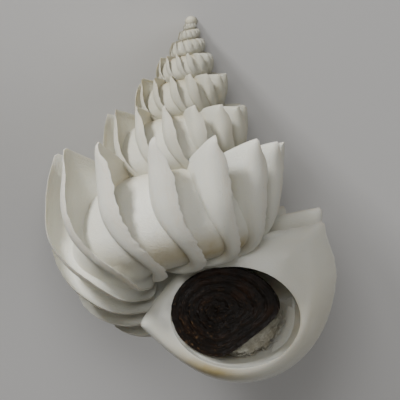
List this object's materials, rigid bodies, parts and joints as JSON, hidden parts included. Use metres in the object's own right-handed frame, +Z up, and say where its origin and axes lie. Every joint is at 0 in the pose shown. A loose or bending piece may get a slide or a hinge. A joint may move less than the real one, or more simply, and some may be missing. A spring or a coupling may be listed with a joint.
{
  "type": "wentletrap shell",
  "caption": "High-spired wentletrap shell with flared, curled-back ribs and a round lip, its dark operculum seated in the aperture.",
  "frame": {"origin": "on the ground under the middle of the shell's bounding box, the shell lying on its back", "axes": "+Z up, the way the aperture faces; +Y towards the apex, which touches the ground; +X towards the outer lip"},
  "size_m": [0.0288, 0.0332, 0.0225],
  "materials": {
    "shell": "satin",
    "operculum": "satin",
    "fibre": "matte"
  },
  "bodies": {
    "root": {"shell": "shell", "operculum": "operculum", "fibre_pad": "fibre"}
  },
  "joints": []
}
